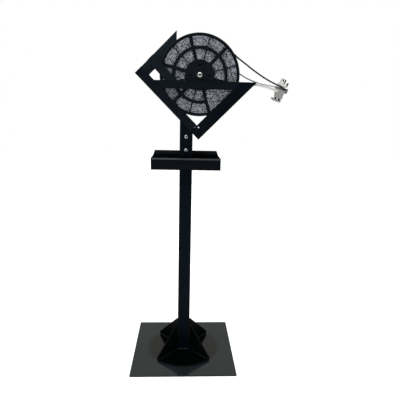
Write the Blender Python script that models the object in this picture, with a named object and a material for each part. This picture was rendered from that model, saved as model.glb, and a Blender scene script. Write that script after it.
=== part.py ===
"""Floor stand that carries a 12 inch reel of wound clip strip, with a feed clamp.

Metres, +Z up, the front faces -Y.  The stand is welded from flat bar, square tube and sheet.
The reel turns on one axle screw between a front frame and a rear frame.
"""
import math

import bmesh
import bpy
from mathutils import Matrix, Vector
from mathutils.geometry import tessellate_polygon

for old in list(bpy.data.objects):
    bpy.data.objects.remove(old, do_unlink=True)

MM = 0.001
GAP = 0.3                      # clearance between touching pieces

# base and post
BASE_HALF = 208.0
BASE_T = 5.0
POST_HALF = 25.0
POST_WALL = 2.5
POST_TOP_SUM = 975.0           # the post's top is cut along x + z = this
GUSSET_T = 5.0
GUSSET_REACH = 149.0           # from the post axis, along the diagonal
GUSSET_TOP = 120.0
GUSSET_TOE = 12.0

# frames of flat bar, in front of and behind the reel
BAR_T = 6.0
FRONT_Y = (-POST_HALF - GAP - BAR_T, -POST_HALF - GAP)
REAR_Y = (POST_HALF + GAP, POST_HALF + GAP + BAR_T)
F_LL = (948.4, 996.5)          # lower left bar, x + z
F_LR = (853.5, 915.0)          # lower right bar, z - x
F_TOP = (1090.5, 1120.5)       # cross bar, z
F_STRAP = (1039.5, 1084.5)     # short strap, x + z
PEEP = (47.2, 947.8)           # small through hole by the inner corner
F_END = 1339.4                 # left ends of the front bars, z - x
R_UL = (1292.6, 1352.0)        # rear upper bar, z - x
R_LL = (950.0, 993.8)          # rear lower bar, x + z
R_VERT = (-74.8, -40.8)        # rear upright, x

# reel
AXLE = (48.5, 1143.5)
REEL_R = 152.4
BEAD_IN = 145.0
WINDOW_R = 143.5
RING = (94.3, 106.2)
HUB_R = 57.3
WEB_Y = (15.0, 20.0)
BEAD_Y = 24.0
SPOKE_W = 12.0
RIB_W = 3.4
SPOKE_ANGLES = [45.5 + 60.0 * k for k in range(6)]
COIL = (53.5, 142.4)
BORE_R = 13.0

# tray
TRAY_X = 134.5
TRAY_Y = 65.0
TRAY_Z = 785.0
TRAY_T = 2.0
TRAY_FRONT = 830.5
TRAY_BACK = 853.0
TRAY_END = 834.5               # back corners of the end walls
TRAY_BACK_X = 127.0

# feed clamp, on axes leaning to the right; its origin is the middle of the block's top
CLAMP = Vector((363.0, 0.0, 1098.1))
LEAN = math.radians(20.0)
CX = Vector((math.cos(LEAN), 0.0, -math.sin(LEAN)))
CZ = Vector((math.sin(LEAN), 0.0, math.cos(LEAN)))
BLOCK_U = (-19.0, 19.0)
BLOCK_FOOT_U = -8.5            # the left side slopes in to here at the bottom
BLOCK_LOW = -33.0
LEDGE = 8.2                    # height of the raised back half of the block
LEDGE_Y = -2.5
STUD = (0.0, 3.5)
PAD_LOW = 15.0
PAD_TOP = 24.0
ROD_R = 2.5
STRIP_Y = -7.0
STRIP_W = 7.0
STRIP_T = 5.0


def material(name, colour, metallic, rough):
    mat = bpy.data.materials.get(name)
    if mat is None:
        mat = bpy.data.materials.new(name)
        mat.use_nodes = True
        bsdf = mat.node_tree.nodes["Principled BSDF"]
        bsdf.inputs["Base Color"].default_value = (*colour, 1.0)
        bsdf.inputs["Metallic"].default_value = metallic
        bsdf.inputs["Roughness"].default_value = rough
    return mat


BLACK = ("black_paint", (0.018, 0.020, 0.024), 0.0, 0.45)
PLATE = ("base_paint", (0.050, 0.055, 0.052), 0.6, 0.25)
STEEL = ("zinc_steel", (0.62, 0.63, 0.64), 1.0, 0.3)
DARK = ("dark_steel", (0.08, 0.08, 0.085), 1.0, 0.4)
MOULDED = ("moulded_plastic", (0.030, 0.036, 0.045), 0.0, 0.5)
COILED = ("clip_strip", (0.20, 0.20, 0.22), 0.7, 0.5)
BRASS = ("brass_bush", (0.60, 0.42, 0.16), 1.0, 0.35)
CAST = ("cast_zinc", (0.45, 0.45, 0.44), 0.9, 0.45)


def finish(bm, name, look, origin=None, smooth=True):
    """Turn a bmesh in millimetres into a named object in metres."""
    bmesh.ops.remove_doubles(bm, verts=bm.verts, dist=1e-5)
    bmesh.ops.recalc_face_normals(bm, faces=bm.faces)
    base = Vector((0.0, 0.0, 0.0)) if origin is None else Vector(origin)
    for v in bm.verts:
        v.co = (v.co - base) * MM
    for e in bm.edges:
        flat = len(e.link_faces) == 2 and e.calc_face_angle(0.0) < math.radians(32.0)
        e.smooth = bool(flat)
    for f in bm.faces:
        f.smooth = smooth
    mesh = bpy.data.meshes.new(name)
    bm.to_mesh(mesh)
    bm.free()
    obj = bpy.data.objects.new(name, mesh)
    obj.location = base * MM
    mesh.materials.append(material(*look))
    bpy.context.scene.collection.objects.link(obj)
    return obj


def add_prism(bm, loops, place):
    """Add a plate: loops are the outline and its holes in 2-D, place maps (u, v, side) to 3-D."""
    flat = [p for loop in loops for p in loop]
    tris = tessellate_polygon([[Vector((p[0], p[1], 0.0)) for p in loop] for loop in loops])
    near = [bm.verts.new(place(p[0], p[1], 0)) for p in flat]
    far = [bm.verts.new(place(p[0], p[1], 1)) for p in flat]
    for a, b, c in tris:
        bm.faces.new((near[a], near[b], near[c]))
        bm.faces.new((far[c], far[b], far[a]))
    start = 0
    for loop in loops:
        n = len(loop)
        for i in range(n):
            a = start + i
            b = start + (i + 1) % n
            bm.faces.new((near[a], near[b], far[b], far[a]))
        start += n


def plate(name, loops, y, look):
    """A flat plate standing in the XZ plane between two values of y."""
    bm = bmesh.new()
    add_prism(bm, loops, lambda u, v, s: (u, y[s], v))
    return finish(bm, name, look)


def circle(cx, cz, r, n, start=0.0):
    out = []
    for i in range(n):
        a = start + 2.0 * math.pi * i / n
        out.append((cx + r * math.cos(a), cz + r * math.sin(a)))
    return out


def add_lathe(bm, profile, centre, axis, side, n, start=0.0):
    """Add a closed solid of revolution from a closed profile of (radius, height) points."""
    other = axis.cross(side)
    rings = []
    for r, h in profile:
        if r < 1e-6:
            rings.append([bm.verts.new(centre + axis * h)])
            continue
        ring = []
        for i in range(n):
            a = start + 2.0 * math.pi * i / n
            ring.append(bm.verts.new(centre + axis * h + (side * math.cos(a) + other * math.sin(a)) * r))
        rings.append(ring)
    for k in range(len(rings)):
        a = rings[k]
        b = rings[(k + 1) % len(rings)]
        if len(a) == 1 and len(b) == 1:
            continue
        for i in range(n):
            j = (i + 1) % n
            if len(a) == 1:
                bm.faces.new((a[0], b[j], b[i]))
            elif len(b) == 1:
                bm.faces.new((a[i], a[j], b[0]))
            else:
                bm.faces.new((a[i], a[j], b[j], b[i]))


YAX = Vector((0.0, 1.0, 0.0))
XAX = Vector((1.0, 0.0, 0.0))
AXLE_C = Vector((AXLE[0], 0.0, AXLE[1]))


def turned(name, profile, look, n=64, centre=AXLE_C, origin=None, axis=YAX, side=XAX, start=0.0):
    bm = bmesh.new()
    add_lathe(bm, profile, centre, axis, side, n, start)
    return finish(bm, name, look, origin=centre if origin is None else origin)


def add_box(bm, lo, hi, centre=Vector((0, 0, 0)), ex=XAX, ez=Vector((0, 0, 1))):
    ey = ez.cross(ex)
    corners = []
    for x in (lo[0], hi[0]):
        for y in (lo[1], hi[1]):
            for z in (lo[2], hi[2]):
                corners.append(bm.verts.new(centre + ex * x + ey * y + ez * z))
    for quad in ((0, 1, 3, 2), (4, 6, 7, 5), (0, 4, 5, 1), (2, 3, 7, 6), (0, 2, 6, 4), (1, 5, 7, 3)):
        bm.faces.new([corners[q] for q in quad])


# ---------------------------------------------------------------- base and post
def build_base():
    h = BASE_HALF
    c = 2.0
    outline = [(-h + c, -h), (h - c, -h), (h, -h + c), (h, h - c),
               (h - c, h), (-h + c, h), (-h, h - c), (-h, -h + c)]
    bm = bmesh.new()
    add_prism(bm, [outline], lambda u, v, s: (u, v, BASE_T * s))
    finish(bm, "base_plate", PLATE)


def build_gussets():
    inner = POST_HALF * math.sqrt(2.0) + GAP
    low = BASE_T + GAP
    side = [(inner, low), (GUSSET_REACH, low), (GUSSET_REACH, low + GUSSET_TOE),
            (inner + 6.0, GUSSET_TOP), (inner, GUSSET_TOP)]
    for name, angle in (("gusset_front_left", 225), ("gusset_front_right", 315),
                        ("gusset_rear_right", 45), ("gusset_rear_left", 135)):
        a = math.radians(angle)
        out = Vector((math.cos(a), math.sin(a), 0.0))
        wide = Vector((-math.sin(a), math.cos(a), 0.0))
        bm = bmesh.new()
        add_prism(bm, [side], lambda u, v, s: out * u + wide * (GUSSET_T * (s - 0.5)) + Vector((0, 0, v)))
        finish(bm, name, BLACK)


SCREW_Z = (911.0, 859.0)


def build_post():
    """Square tube with a slanted top and two screw holes through front and back walls."""
    h = POST_HALF
    i = POST_HALF - POST_WALL
    low = BASE_T + GAP
    bm = bmesh.new()
    n = 16
    hole = 4.4

    def wall_front(y_out, y_in):
        outline_out = [(-h, low), (h, low), (h, POST_TOP_SUM - h), (-h, POST_TOP_SUM + h)]
        outline_in = [(-i, low), (i, low), (i, POST_TOP_SUM - i), (-i, POST_TOP_SUM + i)]
        holes = [circle(0.0, z, hole, n) for z in SCREW_Z]
        for outline, y in ((outline_out, y_out), (outline_in, y_in)):
            loops = [outline] + holes
            flat = [p for loop in loops for p in loop]
            tris = tessellate_polygon([[Vector((p[0], p[1], 0.0)) for p in loop] for loop in loops])
            vs = [bm.verts.new((p[0], y, p[1])) for p in flat]
            for a, b, c in tris:
                bm.faces.new((vs[a], vs[b], vs[c]))
        for loop in holes:
            a_ring = [bm.verts.new((p[0], y_out, p[1])) for p in loop]
            b_ring = [bm.verts.new((p[0], y_in, p[1])) for p in loop]
            for k in range(n):
                m = (k + 1) % n
                bm.faces.new((a_ring[k], a_ring[m], b_ring[m], b_ring[k]))

    wall_front(-h, -i)
    wall_front(h, i)
    for sx in (-1, 1):
        for half, other in ((h, h), (i, i)):
            x = sx * half
            z = POST_TOP_SUM - x
            vs = [bm.verts.new(p) for p in ((x, -other, low), (x, other, low), (x, other, z), (x, -other, z))]
            bm.faces.new(vs)
    for z_of in (lambda x: low, lambda x: POST_TOP_SUM - x):
        outer = [(-h, -h), (h, -h), (h, h), (-h, h)]
        inner = [(-i, -i), (i, -i), (i, i), (-i, i)]
        for k in range(4):
            m = (k + 1) % 4
            quad = (outer[k], outer[m], inner[m], inner[k])
            bm.faces.new([bm.verts.new((p[0], p[1], z_of(p[0]))) for p in quad])
    finish(bm, "post_tube", BLACK)


def build_screws():
    """Two button head screws through the post, and the nuts behind the rear tongue."""
    front = -POST_HALF - GAP
    for name, z in (("post_screw_upper", SCREW_Z[0]), ("post_screw_lower", SCREW_Z[1])):
        c = Vector((0.0, 0.0, z))
        hexa = 3.2
        profile = [(hexa, front - 1.6), (0.0, front - 1.6), (0.0, REAR_Y[1] + 9.0), (4.0, REAR_Y[1] + 9.0),
                   (4.0, front), (7.3, front), (7.3, front - 2.0), (6.2, front - 3.8), (4.2, front - 4.8),
                   (hexa, front - 4.8)]
        turned(name, profile, STEEL, 24, centre=c)
    lo = REAR_Y[1] + GAP
    for name, z in (("post_nut_upper", SCREW_Z[0]), ("post_nut_lower", SCREW_Z[1])):
        plate(name, [circle(0.0, z, 7.5, 6), circle(0.0, z, 4.3, 24)], (lo, lo + 6.5), STEEL)


# ---------------------------------------------------------------- frames
def meet(total, diff):
    """Point where x + z = total and z - x = diff."""
    return ((total - diff) / 2.0, (total + diff) / 2.0)


def build_front_frame():
    g = GAP * math.sqrt(2.0)
    stop = F_LR[1] + g
    ll = [meet(F_LL[0], F_END), meet(F_LL[0], stop), meet(F_LL[1], stop), meet(F_LL[1], F_END)]
    plate("front_bar_left", [ll], FRONT_Y, BLACK)
    start = F_LL[0]
    x_end = F_TOP[1] - F_LR[0]
    lr = [meet(start, F_LR[0]), (x_end, F_TOP[1]), (F_TOP[1] - F_LR[1], F_TOP[1]), meet(start, F_LR[1])]
    plate("front_bar_right", [lr, circle(*PEEP, 2.5, 16)], FRONT_Y, BLACK)
    top = [(F_LL[1] - F_TOP[0] + g, F_TOP[0]), (F_TOP[0] - F_LR[1] - g, F_TOP[0]),
           (F_TOP[1] - F_LR[1] - g, F_TOP[1]), (F_LL[1] - F_TOP[1] + g, F_TOP[1])]
    plate("front_cross_bar", [top], FRONT_Y, BLACK)
    z0 = F_TOP[1] + GAP
    strap = [(F_STRAP[0] - z0, z0), (F_STRAP[1] - z0, z0), meet(F_STRAP[1], F_END), meet(F_STRAP[0], F_END)]
    plate("front_strap", [strap], FRONT_Y, BLACK)


def build_rear_frame():
    g = GAP * math.sqrt(2.0)
    right = R_VERT[1]
    ul = [meet(R_LL[0], R_UL[1]), meet(R_LL[0], R_UL[0]), (right, right + R_UL[0]), (right, right + R_UL[1])]
    plate("rear_bar_upper", [ul], REAR_Y, BLACK)
    x_end = POST_HALF
    d = R_UL[0] - g
    ll = [meet(R_LL[0], d), (x_end, R_LL[0] - x_end), (x_end, R_LL[1] - x_end), meet(R_LL[1], d)]
    plate("rear_bar_lower", [ll], REAR_Y, BLACK)
    x0, x1 = R_VERT
    s = R_LL[1] + g
    vert = [(x0, s - x0), (x1, s - x1), (x1, x1 + d), (x0, x0 + d)]
    plate("rear_upright", [vert], REAR_Y, BLACK)
    half = 17.0
    arm = [(x1 + GAP, AXLE[1] - half), (182.0, AXLE[1] - half), (182.0, AXLE[1] + half),
           (x1 + GAP, AXLE[1] + half)]
    plate("rear_axle_arm", [arm, circle(AXLE[0], AXLE[1], 6.4, 32)], REAR_Y, BLACK)
    z0 = AXLE[1] + half + GAP
    tab = [(156.0, z0), (182.0, z0), (182.0, z0 + 26.0), (156.0, z0 + 26.0)]
    plate("guide_tab", [tab], REAR_Y, BLACK)
    t = R_LL[0] - g
    tongue = [(-20.0, 832.0), (20.0, 832.0), (20.0, t - 20.0), (-20.0, t + 20.0)]
    plate("rear_tongue", [tongue] + [circle(0.0, z, 4.4, 16) for z in SCREW_Z], REAR_Y, BLACK)


def build_spacers():
    """Blocks that hold the front bars' left ends off the rear upper bar."""
    for name, total in (("spacer_lower", 972.5), ("spacer_upper", 1062.0)):
        cx, cz = meet(total, 1318.0)
        d = 17.0
        outline = [(cx - d, cz), (cx, cz - d), (cx + d, cz), (cx, cz + d)]
        plate(name, [outline], (-POST_HALF, POST_HALF), BLACK)


# ---------------------------------------------------------------- reel
def window(a0, w0, a1, w1, r0, r1, step):
    """Outline of an opening between two spokes: angles in degrees, full spoke widths in mm."""
    pts = []

    def corner(a, w, r, sign):
        return math.radians(a) + sign * math.asin(w * 0.5 / r)

    for r, flip in ((r1, False), (r0, True)):
        s = corner(a0, w0, r, 1.0)
        e = corner(a1, w1, r, -1.0)
        n = max(2, int(math.degrees(e - s) / step) + 1)
        arc = []
        for i in range(n + 1):
            a = s + (e - s) * i / n
            arc.append((AXLE[0] + r * math.cos(a), AXLE[1] + r * math.sin(a)))
        pts += arc[::-1] if flip else arc
    return pts


def build_flange(name, front):
    sign = -1.0 if front else 1.0
    bm = bmesh.new()
    n = 96
    loops = [circle(AXLE[0], AXLE[1], BEAD_IN, n)]
    for k in range(6):
        a = SPOKE_ANGLES[k]
        b = a + 60.0
        mid = a + 30.0
        if front and k == 4:
            loops.append(window(a, SPOKE_W, b, SPOKE_W, HUB_R + 3.0, WINDOW_R - 4.0, 6.0))
            continue
        for r0, r1, step in ((RING[1], WINDOW_R, 5.0), (HUB_R, RING[0], 8.0)):
            loops.append(window(a, SPOKE_W, mid, RIB_W, r0, r1, step))
            loops.append(window(mid, RIB_W, b, SPOKE_W, r0, r1, step))
    loops.append(circle(AXLE[0], AXLE[1], BORE_R, 32))
    for k in range(4):
        a = math.radians(90.0 * k + (0.0 if front else 45.0))
        loops.append(circle(AXLE[0] + 36.5 * math.cos(a), AXLE[1] + 36.5 * math.sin(a), 4.0, 12))
    flat = [p for loop in loops for p in loop]
    tris = tessellate_polygon([[Vector((p[0], p[1], 0.0)) for p in loop] for loop in loops])
    near = [bm.verts.new((p[0], sign * WEB_Y[1], p[1])) for p in flat]
    far = [bm.verts.new((p[0], sign * WEB_Y[0], p[1])) for p in flat]
    for a, b, c in tris:
        bm.faces.new((near[a], near[b], near[c]))
        bm.faces.new((far[c], far[b], far[a]))
    start = n
    for loop in loops[1:]:
        m = len(loop)
        for i in range(m):
            a = start + i
            b = start + (i + 1) % m
            bm.faces.new((near[a], near[b], far[b], far[a]))
        start += m
    profile = [(146.2, 23.0), (148.0, BEAD_Y), (150.4, 23.4), (152.0, 21.4), (REEL_R, 18.4),
               (152.0, 15.6), (150.0, WEB_Y[0])]
    rings = [near[:n]]
    for r, y in profile:
        rings.append([bm.verts.new((p[0], sign * y, p[1])) for p in circle(AXLE[0], AXLE[1], r, n)])
    rings.append(far[:n])
    for a, b in zip(rings, rings[1:]):
        for i in range(n):
            j = (i + 1) % n
            bm.faces.new((a[i], a[j], b[j], b[i]))
    finish(bm, name, MOULDED, origin=AXLE_C)


def build_reel():
    build_flange("reel_front_flange", True)
    build_flange("reel_rear_flange", False)
    y = WEB_Y[0] - GAP
    turned("reel_barrel", [(45.0, -y), (53.0, -y), (53.0, y), (45.0, y)], MOULDED, 72)
    turned("clip_coil", [(COIL[0], -y), (COIL[1], -y), (COIL[1], y), (COIL[0], y)], COILED, 96)
    b = 22.5
    turned("reel_bush", [(6.3, -b), (12.7, -b), (12.7, b), (6.3, b)], BRASS, 32)


def build_axle():
    head = -25.3
    profile = [(3.8, head - 2.0), (0.0, head - 2.0), (0.0, 44.0), (6.0, 44.0), (6.0, head), (9.4, head),
               (9.4, head - 2.6), (8.3, head - 4.8), (6.0, head - 6.2), (3.8, head - 6.2)]
    turned("axle_screw", profile, STEEL, 32)
    turned("axle_front_washer", [(6.3, -25.0), (14.0, -25.0), (14.0, -22.8), (6.3, -22.8)], DARK, 32)
    turned("axle_rear_washer", [(6.3, 22.8), (12.0, 22.8), (12.0, 25.0), (6.3, 25.0)], STEEL, 32)
    lo = REAR_Y[1] + GAP
    hexagon = circle(AXLE[0], AXLE[1], 10.9, 6)
    plate("axle_nut", [hexagon, circle(AXLE[0], AXLE[1], 6.3, 32)], (lo, lo + 9.5), STEEL)


# ---------------------------------------------------------------- tray
def build_tray():
    """Folded sheet tray: floor with a square hole, three low walls and a taller back."""
    bm = bmesh.new()
    x, y, t = TRAY_X, TRAY_Y, TRAY_T
    z0, zf, zr, zb = TRAY_Z, TRAY_FRONT, TRAY_END, TRAY_BACK
    hole = POST_HALF + GAP
    outer = [(-x, -y), (x, -y), (x, y), (-x, y)]
    inner = [(-x + t, -y + t), (x - t, -y + t), (x - t, y - t), (-x + t, y - t)]
    post = [(-hole, -hole), (hole, -hole), (hole, hole), (-hole, hole)]

    def face(pts):
        bm.faces.new([bm.verts.new(p) for p in pts])

    for loop, z in ((outer, z0), (inner, z0 + t)):
        loops = [[Vector((p[0], p[1], 0.0)) for p in q] for q in (loop, post)]
        flat = loop + post
        for a, b, c in tessellate_polygon(loops):
            face([(flat[k][0], flat[k][1], z) for k in (a, b, c)])
    for k in range(4):
        a, b = post[k], post[(k + 1) % 4]
        face([(a[0], a[1], z0), (b[0], b[1], z0), (b[0], b[1], z0 + t), (a[0], a[1], z0 + t)])
    # front and end walls
    for k in (0, 1, 3):
        a, b = outer[k], outer[(k + 1) % 4]
        c, d = inner[k], inner[(k + 1) % 4]
        top = [(b[0], b[1], zf), (a[0], a[1], zf)]
        if k == 1:
            top = [(x, y, zr), (x, y - t, zr), (x, -y, zf)]
        if k == 3:
            top = [(-x, -y, zf), (-x, y - t, zr), (-x, y, zr)]
        face([(a[0], a[1], z0), (b[0], b[1], z0)] + top)
        zc = zr if k == 3 else zf
        zd = zr if k == 1 else zf
        face([(c[0], c[1], z0 + t), (d[0], d[1], z0 + t), (d[0], d[1], zd), (c[0], c[1], zc)])
        if k == 0:
            face([(a[0], a[1], zf), (b[0], b[1], zf), (d[0], d[1], zf), (c[0], c[1], zf)])
    # back wall with tapered ends
    bx = TRAY_BACK_X
    face([(-x, y, z0), (x, y, z0), (x, y, zr), (bx, y, zb), (-bx, y, zb), (-x, y, zr)])
    xi = x - t
    slope = (x - bx) / (zb - zr)
    zi = zr + t / slope
    face([(-xi, y - t, z0 + t), (xi, y - t, z0 + t), (xi, y - t, zr), (xi, y - t, zi), (bx, y - t, zb),
          (-bx, y - t, zb), (-xi, y - t, zi), (-xi, y - t, zr)])
    face([(-bx, y - t, zb), (bx, y - t, zb), (bx, y, zb), (-bx, y, zb)])
    for s in (-1, 1):
        face([(s * x, -y, zf), (s * xi, -y + t, zf), (s * xi, y - t, zr), (s * x, y - t, zr)])
        face([(s * x, y - t, zr), (s * x, y, zr), (s * bx, y, zb), (s * bx, y - t, zb), (s * xi, y - t, zi)])
        face([(s * x, y - t, zr), (s * xi, y - t, zi), (s * xi, y - t, zr)])
    bmesh.ops.remove_doubles(bm, verts=bm.verts, dist=1e-4)
    finish(bm, "tray", BLACK)
    # folded hems on the front lip and on the back wall
    bm = bmesh.new()
    add_box(bm, (-x + 4.0, -y - GAP - 1.6, zf - 6.0), (x - 4.0, -y - GAP, zf))
    finish(bm, "tray_front_hem", BLACK)
    bm = bmesh.new()
    add_box(bm, (-bx + 4.0, y - t - GAP - 1.6, zb - 16.0), (bx - 4.0, y - t - GAP, zb))
    finish(bm, "tray_back_hem", BLACK)


# ---------------------------------------------------------------- guide rod, strip and clamp
def local(x, y, z):
    return CLAMP + CX * x + Vector((0.0, y, 0.0)) + CZ * z


def catmull(points, per):
    pts = [points[0] * 2.0 - points[1]] + points + [points[-1] * 2.0 - points[-2]]
    out = []
    for i in range(1, len(pts) - 2):
        p0, p1, p2, p3 = pts[i - 1], pts[i], pts[i + 1], pts[i + 2]
        for k in range(per):
            t = k / per
            out.append(0.5 * ((p1 * 2.0) + (p2 - p0) * t + (p0 * 2.0 - p1 * 5.0 + p2 * 4.0 - p3) * t * t
                              + (p1 * 3.0 - p0 - p2 * 3.0 + p3) * t * t * t))
    out.append(points[-1])
    return out


def add_sweep(bm, path, section):
    """Sweep a closed section (across, up) along a path; 'across' stays near the Y axis."""
    rings = []
    for i, p in enumerate(path):
        a = path[max(0, i - 1)]
        b = path[min(len(path) - 1, i + 1)]
        along = (b - a).normalized()
        up = along.cross(YAX).normalized()
        if up.z < 0:
            up = -up
        across = along.cross(up).normalized()
        if across.y < 0:
            across = -across
        rings.append([bm.verts.new(p + across * u + up * v) for u, v in section])
    n = len(section)
    for a, b in zip(rings, rings[1:]):
        for i in range(n):
            j = (i + 1) % n
            bm.faces.new((a[i], a[j], b[j], b[i]))
    bm.faces.new(rings[0])
    bm.faces.new(rings[-1][::-1])


def build_guide():
    mid = 0.5 * (REAR_Y[0] + REAR_Y[1])
    lane = STRIP_Y
    lie = GAP + ROD_R
    path = [Vector((182.8, mid, 1172.0)), Vector((190.0, mid, 1171.0)), Vector((210.2, 24.5, 1155.1)),
            Vector((235.7, 18.0, 1139.6)), Vector((258.8, 11.0, 1129.2)), Vector((279.0, 5.5, 1122.2)),
            Vector((305.0, -1.0, 1115.6)), Vector((331.0, -6.0, 1110.4)), local(-19.0, lane, lie),
            local(0.0, lane, lie), local(18.5, lane, lie)]
    ring = circle(0.0, 0.0, ROD_R, 12)
    bm = bmesh.new()
    add_sweep(bm, catmull(path, 5), ring)
    finish(bm, "guide_rod", STEEL)
    # strip leaving the top of the coil and running down to the clamp
    r = COIL[1] + 3.6
    lead = []
    for deg in (62.0, 56.0, 51.0):
        a = math.radians(deg)
        lead.append(Vector((AXLE[0] + r * math.cos(a), lane, AXLE[1] + r * math.sin(a))))
    path = lead + [Vector((188.6, lane, 1215.3)), Vector((218.4, lane, 1193.8)),
                   Vector((254.0, lane, 1168.5)), Vector((290.7, lane, 1145.2)),
                   Vector((313.3, lane, 1132.6)), Vector((333.4, lane, 1122.9)),
                   local(-14.7, lane, 11.8), local(0.0, lane, 10.4), local(10.0, lane, 8.9),
                   local(18.5, lane, 8.2)]
    w = STRIP_W * 0.5
    t = STRIP_T * 0.5
    bm = bmesh.new()
    add_sweep(bm, catmull(path, 4), [(-w, -t), (w, -t), (w, t), (-w, t)])
    finish(bm, "feed_strip", DARK)
    # bright flat arm from behind the front frame's right tip to the clamp block
    path = [Vector((222.0, -23.0, 1112.5)), Vector((240.0, -23.0, 1112.5)),
            Vector((256.0, -23.0, 1112.5)), Vector((272.0, -22.0, 1112.0)),
            Vector((292.0, -19.5, 1108.5)), Vector((312.0, -16.5, 1104.0)),
            Vector((332.0, -14.0, 1098.5)), Vector((352.0, -13.8, 1092.0))]
    bm = bmesh.new()
    add_sweep(bm, catmull(path, 3), [(-1.4, -4.0), (1.4, -4.0), (1.4, 4.0), (-1.4, 4.0)])
    finish(bm, "clamp_arm", STEEL)


def build_clamp():
    yax = Vector((0.0, 1.0, 0.0))
    stud_r = 3.0
    # block: sloping left side, raised ledge along its back half
    u0, u1 = BLOCK_U
    outline = [(-12.0, BLOCK_LOW), (12.0, BLOCK_LOW), (12.0, 0.0), (12.0, LEDGE), (LEDGE_Y, LEDGE),
               (LEDGE_Y, 0.0), (-12.0, 0.0)]
    bm = bmesh.new()
    left = [bm.verts.new(local(BLOCK_FOOT_U if w < -1.0 else u0, y, w)) for y, w in outline]
    right = [bm.verts.new(local(u1, y, w)) for y, w in outline]
    n = len(outline)
    for i in range(n):
        j = (i + 1) % n
        bm.faces.new((left[i], left[j], right[j], right[i]))
    for ring in (left, right):
        bm.faces.new([ring[i] for i in (0, 1, 2, 5, 6)])
        bm.faces.new([ring[i] for i in (2, 3, 4, 5)])
    finish(bm, "clamp_block", CAST)
    # hooked foot plate on two pins
    low = BLOCK_LOW - GAP
    for name, px in (("clamp_pin_left", -3.5), ("clamp_pin_right", 11.5)):
        profile = [(0.0, low), (4.0, low), (4.0, low - 4.4), (0.0, low - 4.4)]
        turned(name, profile, DARK, 20, centre=local(px, 0.0, 0.0), axis=CZ, side=CX)
    top = low - 4.4 - GAP
    foot = [(-20.0, top), (-20.0, top - 2.2), (-14.0, top - 4.0), (-12.5, top - 7.5),
            (18.5, top - 6.0), (19.0, top)]
    bm = bmesh.new()
    add_prism(bm, [foot], lambda u, v, s: local(u, (-10.0, 10.0)[s], v))
    finish(bm, "clamp_foot", CAST)
    # stud, pad and wing nut stand on one axis
    axis_at = local(STUD[0], STUD[1], 0.0)
    turned("clamp_stud", [(0.0, LEDGE + GAP), (stud_r, LEDGE + GAP), (stud_r, 44.0), (0.0, 44.0)], DARK, 16,
           centre=axis_at, axis=CZ, side=CX)
    hole = [(STUD[0] + (stud_r + GAP) * math.cos(2 * math.pi * i / 16),
             STUD[1] + (stud_r + GAP) * math.sin(2 * math.pi * i / 16)) for i in range(16)]
    pad = [(-17.0, -12.0), (17.0, -12.0), (17.0, 12.0), (-17.0, 12.0)]
    bm = bmesh.new()
    add_prism(bm, [pad, hole], lambda u, v, s: local(u, v, (PAD_LOW, PAD_TOP)[s]))
    finish(bm, "clamp_pad", CAST, origin=axis_at)
    bm = bmesh.new()
    add_box(bm, (17.0 + GAP, -11.0, 18.0), (21.0, 11.0, 33.5), CLAMP, CX, CZ)
    finish(bm, "pad_end_plate", DARK, origin=axis_at)
    low = PAD_TOP + GAP
    turned("wing_nut_hub", [(stud_r + GAP, low), (8.2, low), (8.2, low + 3.0), (6.6, low + 8.0),
                            (5.4, low + 9.0), (stud_r + GAP, low + 9.0)], CAST, 32,
           centre=axis_at, axis=CZ, side=CX)
    turn = Vector((math.cos(0.35), math.sin(0.35), 0.0))
    for name, s in (("wing_left", -1.0), ("wing_right", 1.0)):
        d = (CX * turn.x + yax * turn.y) * s
        w = CZ.cross(d)
        side = [(8.2 + GAP, low + 0.6), (9.6, low + 0.6), (11.4, low + 6.0), (12.4, low + 13.0),
                (12.0, low + 19.5), (9.6, low + 21.0), (7.2, low + 18.0), (6.9, low + 9.5),
                (8.2 + GAP, low + 6.0)]
        bm = bmesh.new()
        add_prism(bm, [side], lambda u, v, k: axis_at + d * u + CZ * v + w * (3.6 * (k - 0.5)))
        finish(bm, name, CAST, origin=axis_at)
    # crimp that joins the strip and the rod at their free ends
    bm = bmesh.new()
    add_box(bm, (19.0 + GAP, STRIP_Y - 5.5, -6.0), (28.5, STRIP_Y + 6.0, 11.5), CLAMP, CX, CZ)
    finish(bm, "strip_crimp", DARK)


build_base()
build_gussets()
build_post()
build_screws()
build_front_frame()
build_rear_frame()
build_spacers()
build_reel()
build_axle()
build_tray()
build_guide()
build_clamp()
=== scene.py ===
"""Looks for the spool holder stand: finishes, weld beads, wound clips, light and camera."""

import math
import random

import bmesh
import bpy
from mathutils import Matrix, Vector


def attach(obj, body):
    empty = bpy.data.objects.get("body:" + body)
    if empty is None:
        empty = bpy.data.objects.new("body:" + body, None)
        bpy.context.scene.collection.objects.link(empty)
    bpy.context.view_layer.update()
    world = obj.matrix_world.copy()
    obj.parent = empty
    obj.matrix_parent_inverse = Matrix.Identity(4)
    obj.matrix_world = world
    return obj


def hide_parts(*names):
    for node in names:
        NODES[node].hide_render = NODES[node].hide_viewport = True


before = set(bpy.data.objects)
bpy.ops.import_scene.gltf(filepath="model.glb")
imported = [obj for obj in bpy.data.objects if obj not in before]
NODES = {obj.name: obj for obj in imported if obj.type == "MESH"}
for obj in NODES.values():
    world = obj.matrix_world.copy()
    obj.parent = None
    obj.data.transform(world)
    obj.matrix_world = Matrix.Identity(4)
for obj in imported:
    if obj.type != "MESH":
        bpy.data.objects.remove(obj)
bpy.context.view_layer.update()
random.seed(7)

# places of the CAD that the looks refer to, in metres
AXLE = Vector((0.0485, 0.0, 1.1435))
AXLE_HEAD_FACE = -0.0315
POST_HALF = 0.025
POST_SCREWS = {"socket_upper": 0.911, "socket_lower": 0.859}
POST_SCREW_FACE = -0.0301
CLAMP = Vector((0.363, 0.0, 1.0981))
CLAMP_LEAN = math.radians(20.0)
CLAMP_UP = Vector((math.sin(CLAMP_LEAN), 0.0, math.cos(CLAMP_LEAN)))
GUSSET_REACH = 0.149

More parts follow.
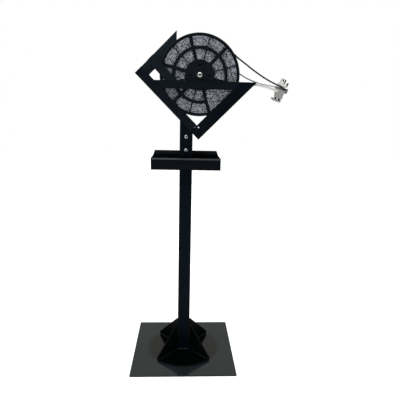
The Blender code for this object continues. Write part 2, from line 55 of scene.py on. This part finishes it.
# where colours change: below CLAMP on its leaning axis, where the foot's painted shade starts, and along x
FOOT_SHADE_LINE = 0.0404
PALE_START, PALE_END = 0.272, 0.341


# ---------------------------------------------------------------- materials
class Net:
    """A material with one Principled shader and short helpers to feed it."""

    def __init__(self, name):
        self.mat = bpy.data.materials.new(name)
        self.mat.use_nodes = True
        self.tree = self.mat.node_tree
        self.bsdf = self.tree.nodes["Principled BSDF"]
        self.coord = self.tree.nodes.new("ShaderNodeTexCoord")

    def node(self, kind, **values):
        """Add a node; each value sets the input of that name or, failing that, the property."""
        n = self.tree.nodes.new(kind)
        for key, val in values.items():
            if key in n.inputs:
                n.inputs[key].default_value = val
            else:
                setattr(n, key, val)
        return n

    def link(self, a, out, b, into):
        self.tree.links.new(a.outputs[out], b.inputs[into])

    def placed(self, kind, **values):
        """Add a node that reads the object coordinates."""
        n = self.node(kind, **values)
        self.link(self.coord, "Object", n, 0)
        return n

    def noise(self, scale, detail=4.0, rough=0.6, stretch=None):
        n = self.node("ShaderNodeTexNoise", Scale=scale, Detail=detail, Roughness=rough)
        if stretch is None:
            self.link(self.coord, "Object", n, "Vector")
        else:
            self.link(self.placed("ShaderNodeMapping", Scale=stretch), "Vector", n, "Vector")
        return n

    def ramp(self, src, out, stops):
        """Turn a number into a colour through a list of (position, colour)."""
        r = self.node("ShaderNodeValToRGB")
        els = r.color_ramp.elements
        while len(els) < len(stops):
            els.new(0.5)
        for e, (pos, col) in zip(els, stops):
            e.position = pos
            e.color = (*col, 1.0)
        self.link(src, out, r, "Fac")
        return r

    def spread(self, src, out, lo, hi, start=0.35, stop=0.65):
        """Map start..stop of a number onto lo..hi."""
        m = self.node("ShaderNodeMapRange")
        for key, val in (("From Min", start), ("From Max", stop), ("To Min", lo), ("To Max", hi)):
            m.inputs[key].default_value = val
        self.link(src, out, m, "Value")
        return m

    def bump(self, src, strength, distance, under=None):
        b = self.node("ShaderNodeBump", Strength=strength, Distance=distance)
        self.link(src, "Fac", b, "Height")
        if under is not None:
            self.link(under, "Normal", b, "Normal")
        return b

    def colour(self, src):
        self.link(src, "Color", self.bsdf, "Base Color")

    def blended_colour(self, first, second, share, how="MIX"):
        """Base colour between two; each argument is a fixed value or a node whose first output it is."""
        m = self.node("ShaderNodeMix", data_type="RGBA", blend_type=how)
        factor, colour_a, colour_b, result = 0, 6, 7, 2
        for place, value in ((factor, share), (colour_a, first), (colour_b, second)):
            if isinstance(value, bpy.types.Node):
                self.link(value, 0, m, place)
            else:
                m.inputs[place].default_value = value
        self.link(m, result, self.bsdf, "Base Color")

    def rough(self, src):
        self.link(src, "Result", self.bsdf, "Roughness")

    def normal(self, src):
        self.link(src, "Normal", self.bsdf, "Normal")

    def put(self, **values):
        for key, val in values.items():
            self.bsdf.inputs[key.replace("_", " ")].default_value = val


def powder(name, low, high, spec=0.10, rough=(0.30, 0.44), grain=0.25):
    """Powder coat: fine orange peel, faint cloudy colour, a little scuffing in the gloss."""
    n = Net(name)
    n.colour(n.ramp(n.noise(9.0, 5.0, 0.6), "Fac", [(0.32, low), (0.70, high)]))
    scuff = n.noise(60.0, 6.0, 0.7, (1.0, 1.0, 0.35))
    n.rough(n.spread(scuff, "Fac", *rough))
    peel = n.noise(850.0, 2.0, 0.5)
    wave = n.noise(160.0, 3.0, 0.5)
    n.normal(n.bump(peel, grain, 0.0002, n.bump(wave, 0.08, 0.0006)))
    n.put(Specular_IOR_Level=spec)
    return n.mat


def base_coat():
    """Smooth dark coat of the base plate, glossy enough to mirror the post and gussets, with painted shade
    and reflection near black round the post's foot.
    """
    n = Net("base_gloss_coat")
    coat_tone = n.ramp(n.noise(5.0, 5.0, 0.6), "Fac",
                   [(0.30, (0.0046, 0.0064, 0.0078)), (0.70, (0.0064, 0.0084, 0.0096))])
    # painted shade and reflection: near black round the post's foot, as far as the gussets' tips
    away = n.placed("ShaderNodeVectorMath", operation="LENGTH")
    outside_painted_shade = n.spread(away, "Value", 0.0, 1.0, GUSSET_REACH - 0.007, GUSSET_REACH + 0.011)
    n.blended_colour((0.0004, 0.0006, 0.0006, 1.0), coat_tone, outside_painted_shade)
    smear = n.noise(14.0, 6.0, 0.65, (1.0, 3.0, 1.0))
    n.rough(n.spread(smear, "Fac", 0.07, 0.14))
    n.normal(n.bump(n.noise(700.0, 2.0, 0.5), 0.06, 0.0001))
    n.put(Specular_IOR_Level=0.108, Specular_Tint=(0.86, 1.0, 0.64, 1.0))
    return n.mat


def metal(name, low, high, rough=(0.22, 0.38), scale=180.0, bump=0.15, pure=1.0):
    """Metal with fine mottling; pure is below 1 where a dull skin covers it."""
    n = Net(name)
    fine = n.noise(scale, 6.0, 0.7)
    n.colour(n.ramp(fine, "Fac", [(0.30, low), (0.72, high)]))
    n.rough(n.spread(fine, "Fac", *rough))
    n.normal(n.bump(n.noise(scale * 3.0, 3.0, 0.6), bump, 0.0001))
    n.put(Metallic=pure)
    return n.mat


def plastic(name, low, high):
    """Moulded black plastic with a spark-eroded grain."""
    n = Net(name)
    n.colour(n.ramp(n.noise(22.0, 4.0, 0.5), "Fac", [(0.30, low), (0.70, high)]))
    n.rough(n.spread(n.noise(90.0, 4.0, 0.6), "Fac", 0.55, 0.72))
    n.normal(n.bump(n.noise(1300.0, 2.0, 0.5), 0.3, 0.0001))
    n.put(Specular_IOR_Level=0.04)
    return n.mat


def clip_metal():
    """Bright and dull clips side by side, with spots of painted shade among them."""
    n = Net("wound_clips")
    cell = n.placed("ShaderNodeTexVoronoi", Scale=230.0)
    tone = n.node("ShaderNodeSeparateColor")
    n.link(cell, "Color", tone, "Color")
    clip = n.ramp(tone, "Red", [(0.0, (0.14, 0.148, 0.168)), (0.35, (0.24, 0.254, 0.286)),
                                (0.70, (0.36, 0.38, 0.425)), (1.0, (0.52, 0.545, 0.60))])
    # near-black spots multiplied into the clips: painted shade
    shade_spots = n.placed("ShaderNodeTexVoronoi", Scale=135.0, Randomness=0.9)
    shade = n.ramp(shade_spots, "Distance", [(0.24, (0.03, 0.03, 0.035)), (0.50, (1.0, 1.0, 1.0))])
    n.blended_colour(clip, shade, 1.0, how="MULTIPLY")
    n.rough(n.spread(tone, "Green", 0.32, 0.6, 0.0, 1.0))
    n.normal(n.bump(n.noise(900.0, 3.0, 0.6), 0.2, 0.0002))
    n.put(Metallic=0.25)
    return n.mat


def foot_metal():
    """Cast foot plate: bare below, painted shade near black along its upper face and lip."""
    n = Net("cast_foot")
    fine = n.noise(240.0, 6.0, 0.7)
    bare = n.ramp(fine, "Fac", [(0.30, (0.16, 0.16, 0.153)), (0.72, (0.24, 0.24, 0.23))])
    height = n.placed("ShaderNodeVectorMath", operation="DOT_PRODUCT")
    height.inputs[1].default_value = CLAMP_UP
    level = CLAMP.dot(CLAMP_UP) - FOOT_SHADE_LINE
    # above this level the foot's upper face and lip take painted shade, near black
    in_painted_shade = n.spread(height, "Value", 0.0, 1.0, level - 0.0006, level + 0.0006)
    n.blended_colour(bare, (0.004, 0.004, 0.004, 1.0), in_painted_shade)
    n.rough(n.spread(fine, "Fac", 0.45, 0.65))
    n.normal(n.bump(n.noise(700.0, 3.0, 0.6), 0.3, 0.0001))
    n.put(Specular_IOR_Level=0.2)
    return n.mat


def rod_metal():
    """Dull wire, pale between the frame's right tip and the clamp."""
    n = Net("dull_wire")
    fine = n.noise(180.0, 6.0, 0.7)
    dull = n.ramp(fine, "Fac", [(0.30, (0.08, 0.08, 0.08)), (0.72, (0.14, 0.14, 0.14))])
    axes = n.placed("ShaderNodeSeparateXYZ")
    past_start = n.spread(axes, "X", 0.0, 1.0, PALE_START - 0.010, PALE_START + 0.010)
    before_end = n.spread(axes, "X", 1.0, 0.0, PALE_END - 0.006, PALE_END + 0.006)
    pale_span = n.node("ShaderNodeMath", operation="MULTIPLY")
    n.link(past_start, "Result", pale_span, 0)
    n.link(before_end, "Result", pale_span, 1)
    n.blended_colour(dull, (0.30, 0.30, 0.295, 1.0), pale_span)
    n.rough(n.spread(fine, "Fac", 0.4, 0.6))
    n.put(Metallic=0.6)
    return n.mat


# powder coats, from the frame's bars down to the base
BLACK = powder("powder_black", (0.0012, 0.0026, 0.0044), (0.0022, 0.0042, 0.0066), spec=0.06)
SHADED = powder("powder_black_shaded", (0.0008, 0.0020, 0.0034), (0.0014, 0.0030, 0.0050), spec=0.032)
STRAP = powder("powder_black_strap", (0.0022, 0.0044, 0.0070), (0.0034, 0.0060, 0.0094), spec=0.07)
REAR = powder("powder_black_rear", (0.0024, 0.0042, 0.0068), (0.0040, 0.0064, 0.0100), spec=0.09)
# upper rear bar: lighter copy of the black powder: painted light
LIT_BAR = powder("powder_black_lit", (0.0040, 0.0076, 0.0118), (0.0060, 0.0104, 0.0158), spec=0.09)
POST = powder("powder_black_post", (0.0006, 0.0023, 0.0042), (0.0012, 0.0034, 0.0058), spec=0.024)
TRAY = powder("powder_black_tray", (0.0010, 0.0018, 0.0034), (0.0018, 0.0028, 0.0050), spec=0.035)
# front hem: lighter grey stands in for the light on the rolled lip: painted highlight
LIT_LIP = powder("painted_highlight_lip", (0.018, 0.020, 0.024), (0.036, 0.040, 0.046), 0.2, (0.35, 0.5), 0.3)
# back hem: lighter copy of the black powder along the fold: painted highlight
HEM = powder("powder_black_hem", (0.0050, 0.0056, 0.0064), (0.0078, 0.0086, 0.0098), 0.14, (0.3, 0.45), 0.3)
# gussets: near-black copy of the black powder: painted shade
GUSSET = powder("powder_black_gusset", (0.0006, 0.0010, 0.0010), (0.0012, 0.0018, 0.0018), spec=0.035)
WELD = powder("powder_black_weld", (0.0014, 0.0026, 0.0040), (0.0024, 0.0040, 0.0058), 0.12, (0.3, 0.42), 0.4)
# near black: the clamp pins' own black, and painted shade in the screw sockets and inside the coil
BLACK_AND_SHADE = powder("pin_black_and_painted_shade", (0.001, 0.001, 0.0012), (0.002, 0.002, 0.0024), 0.02, (0.6, 0.8), 0.3)
BASE = base_coat()
FLANGE = plastic("moulded_flange", (0.0018, 0.0032, 0.0052), (0.0030, 0.0048, 0.0075))

# metals
CLIPS = clip_metal()
ZINC = metal("zinc_plate", (0.34, 0.35, 0.35), (0.50, 0.51, 0.52), (0.25, 0.4))
SCREW = metal("dull_zinc_screw", (0.25, 0.26, 0.26), (0.38, 0.39, 0.40), (0.3, 0.45))
# black oxide; on pad_end_plate and wing_right it serves as painted shade
DARK = metal("black_oxide_and_painted_shade", (0.020, 0.022, 0.026), (0.045, 0.048, 0.052), (0.35, 0.5))
BRASS = metal("turned_brass", (0.55, 0.38, 0.14), (0.72, 0.52, 0.22), (0.2, 0.34))
ROD = rod_metal()
ARM = metal("galvanised_arm", (0.36, 0.36, 0.355), (0.48, 0.48, 0.47), (0.5, 0.7), 90.0, 0.2, 0.15)
CRIMP = metal("crimp_steel", (0.085, 0.085, 0.092), (0.16, 0.16, 0.172), (0.35, 0.5), 160.0, 0.2, 0.6)
CAST = metal("cast_zinc", (0.185, 0.185, 0.177), (0.255, 0.255, 0.244), (0.4, 0.6), 240.0, 0.35, 0.35)
CREAM = metal("pale_cast_zinc", (0.40, 0.40, 0.375), (0.54, 0.54, 0.505), (0.4, 0.6), 240.0, 0.35, 0.2)
FOOT = foot_metal()

FINISH = {
    "base_plate": BASE, "post_tube": POST,
    "post_screw_upper": SCREW, "post_screw_lower": SCREW, "post_nut_upper": ZINC, "post_nut_lower": ZINC,
    "front_bar_right": SHADED, "front_strap": STRAP, "rear_bar_upper": LIT_BAR,
    "tray": TRAY, "tray_front_hem": LIT_LIP, "tray_back_hem": HEM,
    "axle_screw": ZINC, "axle_front_washer": DARK, "axle_rear_washer": ZINC, "axle_nut": ZINC,
    "reel_front_flange": FLANGE, "reel_rear_flange": FLANGE, "reel_barrel": FLANGE,
    "reel_bush": BRASS, "clip_coil": CLIPS,
    "guide_rod": ROD, "clamp_arm": ARM, "feed_strip": DARK, "strip_crimp": CRIMP,
    "clamp_block": CAST, "clamp_foot": FOOT, "clamp_stud": DARK,
    "clamp_pin_left": BLACK_AND_SHADE, "clamp_pin_right": BLACK_AND_SHADE,
    # pad_end_plate and wing_right take the black oxide as painted shade on the pad's right end and the right
    # wing
    "clamp_pad": CREAM, "pad_end_plate": DARK,
    "wing_nut_hub": CREAM, "wing_left": CREAM, "wing_right": DARK,
}
FAMILY_FINISH = {"gusset": GUSSET, "rear": REAR}

# rounded edges: bars and plates share one width, named nodes have their own
BAR_FAMILIES = ("gusset", "front", "rear", "spacer", "guide")
BAR_EDGE = 0.0007
EDGES = {
    "base_plate": 0.0012, "post_tube": 0.0007,
    "tray": 0.0006, "tray_front_hem": 0.0006, "tray_back_hem": 0.0006,
    "reel_front_flange": 0.0006, "reel_rear_flange": 0.0006,
    "guide_rod": None, "strip_crimp": 0.0015,
    "clamp_block": 0.0015, "clamp_foot": 0.0008, "clamp_pad": 0.0008,
}


def dress(key, obj):
    """Give a CAD node its finish and rounded edges."""
    family = key.split("_")[0]
    obj.data.materials.clear()
    obj.data.materials.append(FINISH.get(key) or FAMILY_FINISH.get(family, BLACK))
    width = EDGES.get(key, BAR_EDGE if family in BAR_FAMILIES else None)
    if width is None:
        return
    edge = obj.modifiers.new("edge_round", "BEVEL")
    edge.width = width
    edge.segments = 2
    edge.limit_method = "ANGLE"
    edge.angle_limit = math.radians(40.0)
    edge.harden_normals = True


for node_name, node_object in NODES.items():
    dress(node_name, node_object)


# ---------------------------------------------------------------- mesh helpers
def finish_mesh(bm, name, mat, body, smooth=False):
    """Turn a bmesh into a piece that rides on a body."""
    bmesh.ops.recalc_face_normals(bm, faces=bm.faces)
    for f in bm.faces:
        f.smooth = smooth
    mesh = bpy.data.meshes.new(name)
    bm.to_mesh(mesh)
    bm.free()
    mesh.materials.append(mat)
    obj = bpy.data.objects.new(name, mesh)
    bpy.context.scene.collection.objects.link(obj)
    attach(obj, body)
    return obj


def skin(bm, rings):
    """Join each ring of vertices to the next with four-sided faces."""
    for a, b in zip(rings, rings[1:]):
        for k in range(len(a)):
            j = (k + 1) % len(a)
            bm.faces.new((a[k], a[j], b[j], b[k]))


def ring(bm, centre, radius, y, sides):
    """One round of vertices about a line along y, at depth y from the centre."""
    turns = [2.0 * math.pi * k / sides for k in range(sides)]
    return [bm.verts.new(centre + Vector((radius * math.cos(t), y, radius * math.sin(t)))) for t in turns]


def tube(bm, path, radii, sides=8):
    """Sweep a round section with its own radius at every point of the path."""
    slanted = Vector((0.31, 0.57, 0.76))
    turns = [2.0 * math.pi * k / sides for k in range(sides)]
    rings = []
    for i, (point, radius) in enumerate(zip(path, radii)):
        ahead = (path[min(len(path) - 1, i + 1)] - path[max(0, i - 1)]).normalized()
        u = ahead.cross(slanted).normalized()
        v = ahead.cross(u).normalized()
        rings.append([bm.verts.new(point + (u * math.cos(t) + v * math.sin(t)) * radius) for t in turns])
    skin(bm, rings)
    bm.faces.new(rings[0])
    bm.faces.new(rings[-1][::-1])


# ---------------------------------------------------------------- weld beads
def weld(name, runs, radius):
    """Fillet weld beads: a row of overlapping ripples along each straight run."""
    ripple = 0.0016
    bm = bmesh.new()
    for start, end in runs:
        start, end = Vector(start), Vector(end)
        steps = max(6, int((end - start).length / ripple))
        path = [start.lerp(end, k / steps) for k in range(steps + 1)]
        radii = [radius * (0.86 + 0.14 * abs(math.sin(k * 1.05)) + random.uniform(-0.03, 0.03))
                 for k in range(steps + 1)]
        radii[0] = radii[-1] = radius * 0.45
        tube(bm, path, radii)
    finish_mesh(bm, name, WELD, "stand", smooth=True)


def weld_post_foot():
    """One bead along each side of the post, just above the plate."""
    h, z = POST_HALF, 0.0055
    corners = [(-h, -h, z), (h, -h, z), (h, h, z), (-h, h, z)]
    weld("weld_post_foot", list(zip(corners, corners[1:] + corners[:1])), 0.0028)


def weld_gussets():
    """Beads on both faces of each gusset, along the plate and up the post's corner."""
    half_thick = 0.0025
    heel, toe, plate_level = 0.040, GUSSET_REACH - 0.002, 0.0055
    corner, low, high = 0.0358, 0.010, 0.116
    runs = []
    for sx in (-1, 1):
        for sy in (-1, 1):
            out = Vector((sx, sy, 0.0)).normalized()
            side = Vector((-out.y, out.x, 0.0)) * half_thick
            for s in (-1, 1):
                face = side * s
                level = Vector((0.0, 0.0, plate_level))
                runs.append((out * heel + face + level, out * toe + face + level))
                runs.append((out * corner + face + Vector((0.0, 0.0, low)),
                             out * corner + face + Vector((0.0, 0.0, high))))
    weld("weld_gussets", runs, 0.0020)


def weld_cross_bar():
    """Root runs that close the seams at the cross bar's slanted ends."""
    reach = 0.0002
    bar = NODES["front_cross_bar"]
    pts = [bar.matrix_world @ v.co for v in bar.data.vertices]
    top, low = max(p.z for p in pts), min(p.z for p in pts)
    middle = 0.5 * (max(p.y for p in pts) + min(p.y for p in pts))
    upper = [p.x for p in pts if top - p.z < reach]
    lower = [p.x for p in pts if p.z - low < reach]
    weld("weld_cross_bar", [((pick(upper), middle, top), (pick(lower), middle, low)) for pick in (min, max)],
         0.0007)


weld_post_foot()
weld_gussets()
weld_cross_bar()


# ---------------------------------------------------------------- wound clips
COIL_INNER, COIL_OUTER = 0.0545, 0.1455
CLIP_PITCH, CLIP_GAP, CLIP_LENGTH = 0.0063, 0.0004, 0.0050
CLIP_SPACING = 0.0040
CROWN_DEPTH = 0.0022


def add_clip(bm, inner_end, outer_end, side, depth, half_width):
    """One clip's crown: a six-sided plate with its outer corners taken off."""
    corner = 0.0005
    face = side * depth
    back = side * (depth - CROWN_DEPTH)
    shoulder = face - side * corner
    outline = [(inner_end, back), (outer_end, back), (outer_end, shoulder),
               (inner_end.lerp(outer_end, 0.85), face), (inner_end.lerp(outer_end, 0.15), face),
               (inner_end, shoulder)]
    points = [place + Vector((0.0, y, 0.0)) for place, y in outline]
    near = [bm.verts.new(p - half_width) for p in points]
    far = [bm.verts.new(p + half_width) for p in points]
    bm.faces.new(near)
    bm.faces.new(far[::-1])
    skin(bm, [near, far])


def build_coil():
    """Turns of small clips, their crowns showing at both sides of the reel."""
    bm = bmesh.new()
    for turn in range(int((COIL_OUTER - COIL_INNER) / CLIP_PITCH)):
        r0 = COIL_INNER + CLIP_PITCH * turn + CLIP_GAP
        r1 = r0 + CLIP_LENGTH
        count = int(2.0 * math.pi * (0.5 * (r0 + r1)) / CLIP_SPACING)
        phase = random.uniform(0.0, 6.28)
        for i in range(count):
            a = phase + 2.0 * math.pi * i / count + random.uniform(-0.05, 0.05) / count
            skew = 0.002 * random.uniform(-0.10, 0.10)
            outward = Vector((math.cos(a), 0.0, math.sin(a)))
            along = Vector((-math.sin(a), 0.0, math.cos(a)))
            half_width = along * (0.0013 + random.uniform(0.0, 0.0003))
            depth = 0.0143 + random.uniform(-0.0005, 0.0)
            for side in (-1.0, 1.0):
                add_clip(bm, AXLE + outward * r0 + along * skew, AXLE + outward * r1 - along * skew,
                         side, depth, half_width)
    coil = finish_mesh(bm, "wound_clip_coil", CLIPS, "reel")
    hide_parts("clip_coil")


def build_core():
    """Dark ring that fills the coil between its two rows of crowns: painted shade inside the coil."""
    half_depth, sides = 0.0128, 96
    inner, outer = COIL_INNER - 0.0008, COIL_OUTER - 0.0004
    bm = bmesh.new()
    section = [(inner, -half_depth), (outer, -half_depth), (outer, half_depth), (inner, half_depth)]
    rings = [ring(bm, AXLE, radius, y, sides) for radius, y in section]
    skin(bm, rings + rings[:1])
    finish_mesh(bm, "coil_core", BLACK_AND_SHADE, "reel")


build_coil()
build_core()


# ---------------------------------------------------------------- screw sockets
def socket(name, centre, head_face, inner, outer, depth):
    """Near-black hex recess lining with a chamfered lip, set in a screw's own socket: painted shade in the
    recess.
    """
    sink, chamfer, wall = 0.0001, 0.0003, 0.0002
    lip = head_face + sink
    floor = lip + depth
    bm = bmesh.new()
    section = [(outer, lip), (inner, lip + chamfer), (inner * 0.92, floor), (inner * 0.3, floor)]
    rings = [ring(bm, centre, radius, y, 6) for radius, y in section]
    skin(bm, rings)
    bm.faces.new(rings[-1])
    thick = finish_mesh(bm, name, BLACK_AND_SHADE, "stand").modifiers.new("wall", "SOLIDIFY")
    thick.thickness = wall
    thick.offset = 0.0


for socket_name, height in POST_SCREWS.items():
    socket(socket_name, Vector((0.0, 0.0, height)), POST_SCREW_FACE, inner=0.0031, outer=0.0034, depth=0.0022)
socket("socket_axle", AXLE, AXLE_HEAD_FACE, inner=0.0043, outer=0.0047, depth=0.0030)


# ---------------------------------------------------------------- stage, light, camera
def build_stage():
    """A large pale floor just under the base plate."""
    bm = bmesh.new()
    bmesh.ops.create_grid(bm, x_segments=1, y_segments=1, size=12.0)
    mesh = bpy.data.meshes.new("floor")
    bm.to_mesh(mesh)
    bm.free()
    floor = bpy.data.objects.new("floor", mesh)
    floor.location = (0.0, 0.0, -0.0003)
    bpy.context.scene.collection.objects.link(floor)
    n = Net("pale_floor")
    n.colour(n.ramp(n.noise(2.0, 2.0, 0.5), "Fac", [(0.3, (0.90, 0.90, 0.90)), (0.7, (0.92, 0.92, 0.92))]))
    n.put(Roughness=0.9, Specular_IOR_Level=0.0)
    mesh.materials.append(n.mat)


def area(name, place, target, size, power):
    """A square area light that faces its target."""
    data = bpy.data.lights.new(name, "AREA")
    data.shape = "RECTANGLE"
    data.size = data.size_y = size
    data.energy = power
    obj = bpy.data.objects.new(name, data)
    obj.location = place
    obj.rotation_euler = (Vector(target) - Vector(place)).to_track_quat("-Z", "Y").to_euler()
    bpy.context.scene.collection.objects.link(obj)


def build_light():
    """Dark room in front, pale backdrop behind, bright soft ceiling; the camera sees plain white."""
    room, backdrop, ceiling = 0.16, 1.0, 1.9
    white = (1.0, 1.0, 1.0, 1.0)
    world = bpy.data.worlds.new("studio")
    bpy.context.scene.world = world
    world.use_nodes = True
    tree = world.node_tree
    coord = tree.nodes.new("ShaderNodeTexCoord")
    axes = tree.nodes.new("ShaderNodeSeparateXYZ")
    tree.links.new(coord.outputs["Generated"], axes.inputs[0])

    def ease(axis, start, stop, lo, hi):
        m = tree.nodes.new("ShaderNodeMapRange")
        m.interpolation_type = "SMOOTHSTEP"
        for key, val in (("From Min", start), ("From Max", stop), ("To Min", lo), ("To Max", hi)):
            m.inputs[key].default_value = val
        tree.links.new(axes.outputs[axis], m.inputs["Value"])
        return m

    total = tree.nodes.new("ShaderNodeMath")
    total.operation = "ADD"
    tree.links.new(ease("Y", -0.25, 0.35, room, backdrop).outputs[0], total.inputs[0])
    tree.links.new(ease("Z", 0.45, 0.85, 0.0, ceiling).outputs[0], total.inputs[1])
    lit = tree.nodes["Background"]
    lit.inputs["Color"].default_value = white
    tree.links.new(total.outputs[0], lit.inputs["Strength"])
    seen = tree.nodes.new("ShaderNodeBackground")
    seen.inputs["Color"].default_value = white
    seen.inputs["Strength"].default_value = 1.0
    path = tree.nodes.new("ShaderNodeLightPath")
    mix = tree.nodes.new("ShaderNodeMixShader")
    tree.links.new(path.outputs["Is Camera Ray"], mix.inputs[0])
    tree.links.new(lit.outputs[0], mix.inputs[1])
    tree.links.new(seen.outputs[0], mix.inputs[2])
    tree.links.new(mix.outputs[0], tree.nodes["World Output"].inputs["Surface"])
    area("top_soft", (-0.5, -0.9, 3.4), (0.0, 0.0, 0.6), 2.2, 60.0)
    area("front_soft", (-1.9, -2.6, 2.0), (0.0, 0.0, 1.0), 1.0, 24.0)


def build_camera():
    """Just under a metre up and a metre and a half in front, looking slightly down."""
    place = Vector((-0.01207, -1.551, 0.9529))
    yaw, pitch, roll = math.radians(2.667), math.radians(10.8), math.radians(1.19)
    look = Vector((math.sin(yaw) * math.cos(pitch), math.cos(yaw) * math.cos(pitch), -math.sin(pitch)))
    level_right = Vector((math.cos(yaw), -math.sin(yaw), 0.0))
    level_down = look.cross(level_right)
    right = level_right * math.cos(roll) - level_down * math.sin(roll)
    down = level_down * math.cos(roll) + level_right * math.sin(roll)
    data = bpy.data.cameras.new("camera")
    data.sensor_width = 36.0
    data.lens = 34.839
    data.clip_start = 0.05
    obj = bpy.data.objects.new("camera", data)
    obj.matrix_world = Matrix.Translation(place) @ Matrix((right, -down, -look)).transposed().to_4x4()
    bpy.context.scene.collection.objects.link(obj)
    bpy.context.scene.camera = obj


build_stage()
build_light()
build_camera()
bpy.context.scene.view_settings.view_transform = "Standard"
